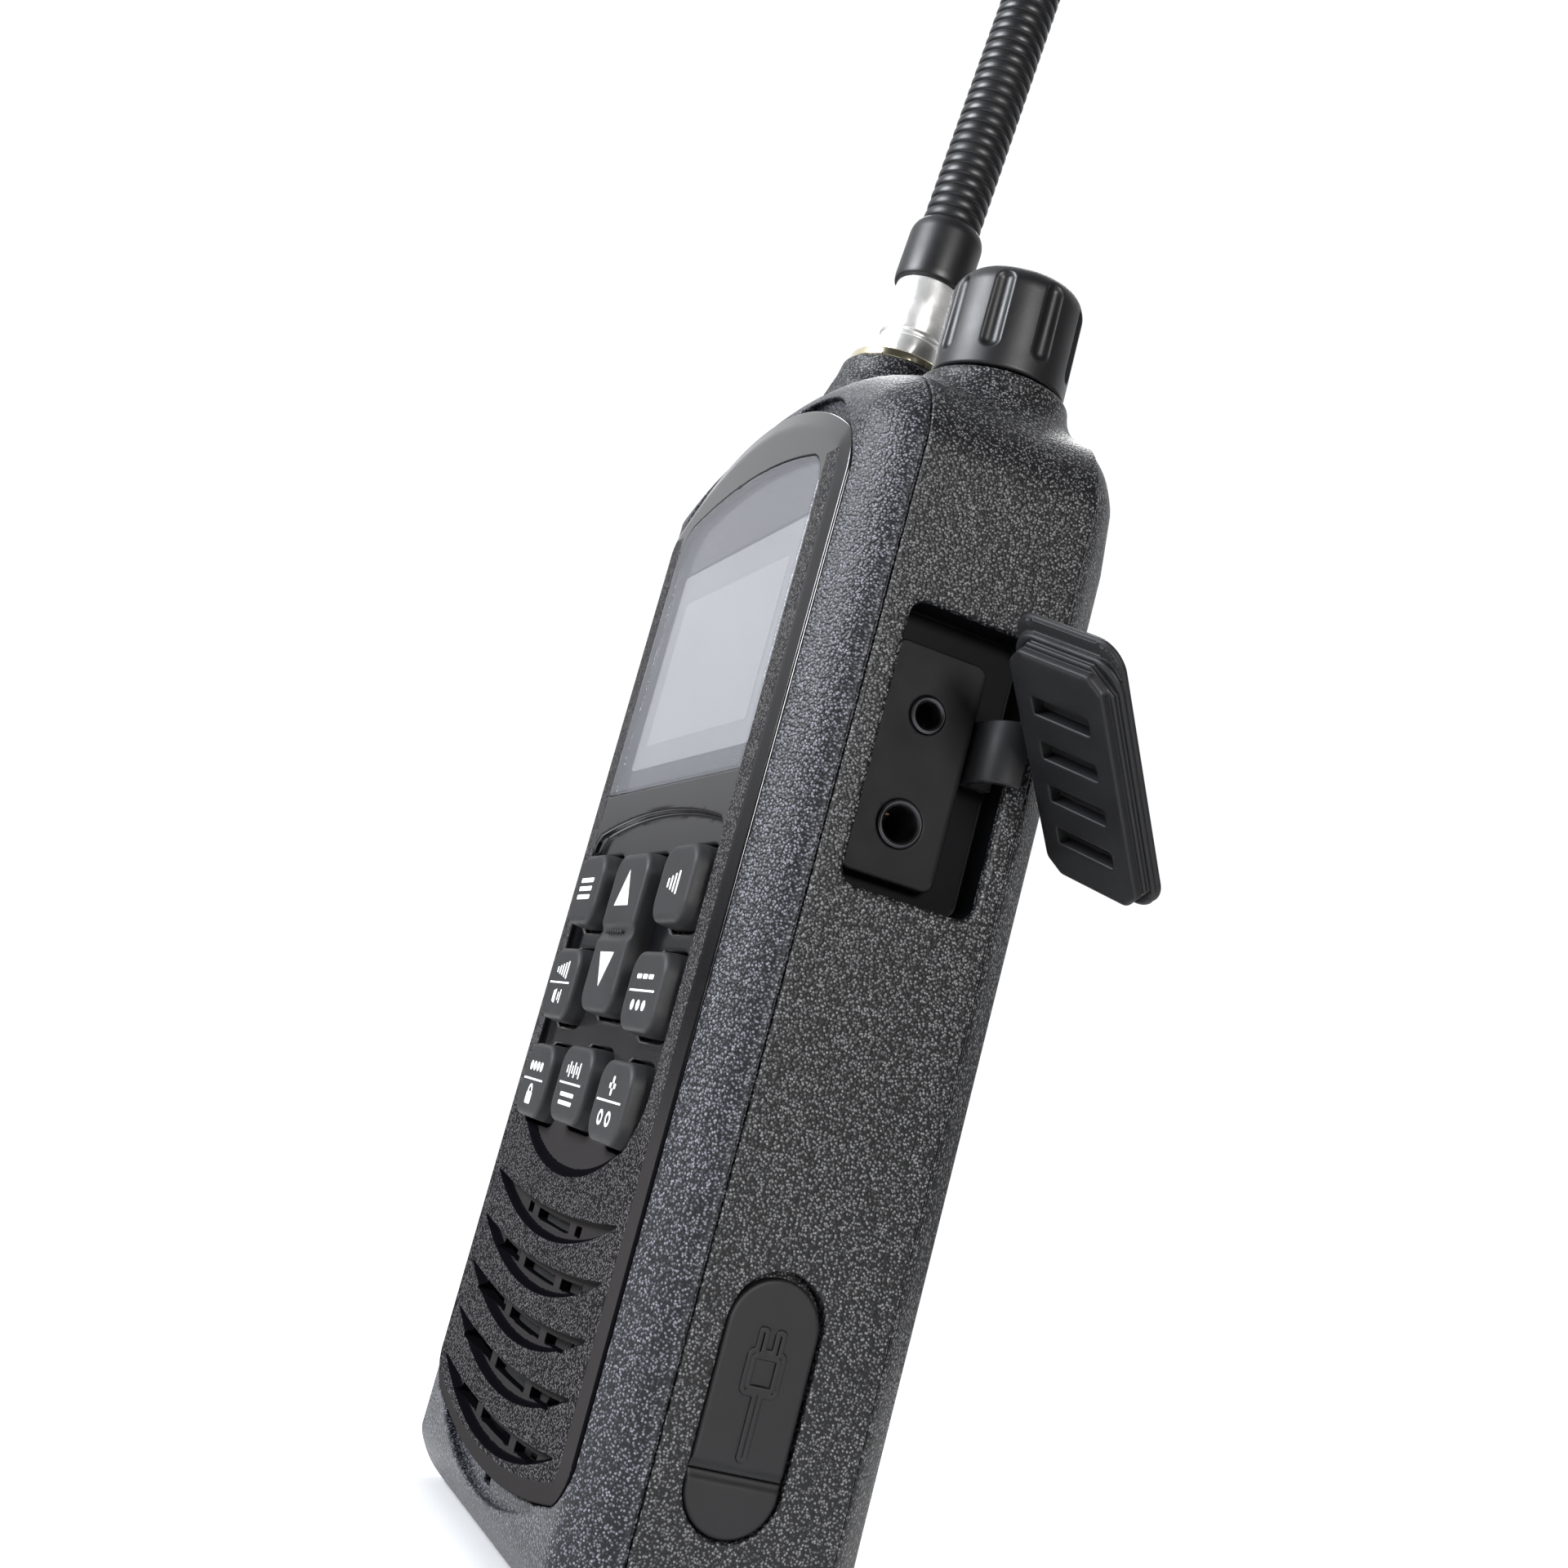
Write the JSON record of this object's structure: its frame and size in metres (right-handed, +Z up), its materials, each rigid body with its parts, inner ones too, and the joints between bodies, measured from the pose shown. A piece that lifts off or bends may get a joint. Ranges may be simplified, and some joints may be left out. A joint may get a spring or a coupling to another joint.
{
  "type": "handheld two-way radio",
  "caption": "Arched-top handheld two-way radio with lens, keypad and louvred speaker panel, volume knob, screw-on ribbed antenna, and rubber covers over its side jacks.",
  "frame": {"origin": "on the flat bottom face of the housing, midway between its side faces, at the parting line of the front and rear shells", "axes": "+Z up towards the antenna, +X to the right seen from the front, +Y towards the back of the radio"},
  "size_m": [0.09, 0.0389, 0.3177],
  "materials": {
    "board": "green solder resist",
    "brass_plate": "pale champagne plate",
    "cast_plate": "die-cast",
    "cell_wrap": "printed sleeve film",
    "cover_rubber": "satin moulded rubber",
    "display": "pale grey display glass",
    "felt": "thin acoustic cloth",
    "gasket_rubber": "soft moulded",
    "housing_plastic": "fine leather grain, semi-matt",
    "inner_plastic": "plain moulded",
    "key_rubber": "soft matt caps with pale printed marks",
    "knob_plastic": "fine matt grain",
    "lens": "clear tinted, glossy",
    "nickel": "polished nickel plate",
    "panel_plastic": "smooth, glossy",
    "steel": "plated steel",
    "whip_rubber": "satin ribbed sheath"
  },
  "bodies": {
    "radio": {"front_cover": "housing_plastic", "front_panel": "panel_plastic", "display_lens": "lens", "display_module": "display", "keypad_mat": "cover_rubber", "speaker": "steel", "speaker_felt": "felt", "microphone": "steel", "control_board": "board", "main_board": "board", "shield_can": "steel", "chassis": "cast_plate", "side_switch_board": "board", "rear_shell": "housing_plastic", "case_gasket": "gasket_rubber", "case_screws": "steel", "board_screws": "steel", "terminal_block": "inner_plastic", "jack_plate": "inner_plastic", "jack_barrel_large": "steel", "jack_barrel_small": "steel", "usb_socket": "steel", "usb_cover_root": "cover_rubber", "volume_pot": "steel", "pot_nut": "steel", "antenna_socket": "brass_plate", "antenna_washer": "brass_plate", "battery_case": "housing_plastic", "battery_lid": "housing_plastic", "battery_cells": "cell_wrap", "battery_board": "board", "latch_spring": "steel", "clip_bracket": "inner_plastic", "clip_screws": "steel", "clip_pin": "steel", "clip_spring": "steel"},
    "key_1_left": {"key_1_left": "key_rubber"},
    "key_1_right": {"key_1_right": "key_rubber"},
    "key_2_left": {"key_2_left": "key_rubber"},
    "key_2_right": {"key_2_right": "key_rubber"},
    "key_3_left": {"key_3_left": "key_rubber"},
    "key_3_middle": {"key_3_middle": "key_rubber"},
    "key_3_right": {"key_3_right": "key_rubber"},
    "rocker": {"key_rocker": "key_rubber"},
    "volume_control": {"volume_shaft": "steel", "volume_knob": "knob_plastic"},
    "antenna": {"antenna_sleeve": "nickel", "antenna_collar": "knob_plastic", "antenna_whip": "whip_rubber", "antenna_cap": "whip_rubber"},
    "ptt": {"ptt_button": "cover_rubber"},
    "upper_side_key": {"side_key_upper": "cover_rubber"},
    "lower_side_key": {"side_key_lower": "cover_rubber"},
    "cover_toe": {"strap_toe": "cover_rubber", "jack_cover_strap": "cover_rubber"},
    "jack_cover": {"jack_cover": "cover_rubber"},
    "usb_cover": {"usb_cover": "cover_rubber"},
    "latch": {"battery_latch": "inner_plastic"},
    "clip": {"belt_clip": "inner_plastic"}
  },
  "joints": [
    {"name": "key_1_left_press", "type": "slide", "parent": "radio", "child": "key_1_left", "axis": [0, 1, 0], "range_m": [0, 0.0005], "stiffness_N_per_m": 1200, "springref_m": -0.0002},
    {"name": "key_1_right_press", "type": "slide", "parent": "radio", "child": "key_1_right", "axis": [0, 1, 0], "range_m": [0, 0.0005], "stiffness_N_per_m": 1200, "springref_m": -0.0002},
    {"name": "key_2_left_press", "type": "slide", "parent": "radio", "child": "key_2_left", "axis": [0, 1, 0], "range_m": [0, 0.0005], "stiffness_N_per_m": 1200, "springref_m": -0.0002},
    {"name": "key_2_right_press", "type": "slide", "parent": "radio", "child": "key_2_right", "axis": [0, 1, 0], "range_m": [0, 0.0005], "stiffness_N_per_m": 1200, "springref_m": -0.0002},
    {"name": "key_3_left_press", "type": "slide", "parent": "radio", "child": "key_3_left", "axis": [0, 1, 0], "range_m": [0, 0.0005], "stiffness_N_per_m": 1200, "springref_m": -0.0002},
    {"name": "key_3_middle_press", "type": "slide", "parent": "radio", "child": "key_3_middle", "axis": [0, 1, 0], "range_m": [0, 0.0005], "stiffness_N_per_m": 1200, "springref_m": -0.0002},
    {"name": "key_3_right_press", "type": "slide", "parent": "radio", "child": "key_3_right", "axis": [0, 1, 0], "range_m": [0, 0.0005], "stiffness_N_per_m": 1200, "springref_m": -0.0002},
    {"name": "ptt_press", "type": "slide", "parent": "radio", "child": "ptt", "axis": [1, 0, 0], "range_m": [0, 0.0011], "stiffness_N_per_m": 1500, "springref_m": -0.0003},
    {"name": "upper_side_key_press", "type": "slide", "parent": "radio", "child": "upper_side_key", "axis": [1, 0, 0], "range_m": [0, 0.0006], "stiffness_N_per_m": 1500, "springref_m": -0.0002},
    {"name": "lower_side_key_press", "type": "slide", "parent": "radio", "child": "lower_side_key", "axis": [1, 0, 0], "range_m": [0, 0.0006], "stiffness_N_per_m": 1500, "springref_m": -0.0002},
    {"name": "latch_pull", "type": "slide", "parent": "radio", "child": "latch", "axis": [0, 0, -1], "range_m": [0, 0.0024], "stiffness_N_per_m": 500, "springref_m": -0.001, "deforming": ["latch_spring"]},
    {"name": "rocker_tilt", "type": "hinge", "parent": "radio", "child": "rocker", "pos_m": [0, -0.0045, 0.0647], "axis": [1, 0, 0], "range_deg": [-2.4, 2.4], "stiffness_Nm_per_rad": 0.06},
    {"name": "volume_turn", "type": "hinge", "parent": "radio", "child": "volume_control", "pos_m": [0.02, 0.0116, 0.1304], "axis": [0, 0, 1], "range_deg": [-90, 180]},
    {"name": "antenna_screw", "type": "hinge", "parent": "radio", "child": "antenna", "pos_m": [0.001, 0.0074, 0.1352], "axis": [0, 0.0698, 0.9976], "continuous": true},
    {"name": "jack_cover_slide", "type": "slide", "parent": "radio", "child": "cover_toe", "axis": [0, 0, 1], "range_m": [-0.0034, 0]},
    {"name": "jack_cover_swing", "type": "hinge", "parent": "cover_toe", "child": "jack_cover", "pos_m": [0.036, 0.0177, 0.0906], "axis": [0.5003, -0.1461, 0.8535], "range_deg": [-114, 8], "deforming": ["jack_cover_strap"]},
    {"name": "usb_cover_swing", "type": "hinge", "parent": "radio", "child": "usb_cover", "pos_m": [0.0333, 0.00815, 0.0184], "axis": [0, 1, 0], "range_deg": [0, 100]},
    {"name": "clip_squeeze", "type": "hinge", "parent": "radio", "child": "clip", "pos_m": [0, 0.0294, 0.108], "axis": [1, 0, 0], "range_deg": [0, 16], "stiffness_Nm_per_rad": 0.6, "springref_deg": -11.46}
  ]
}
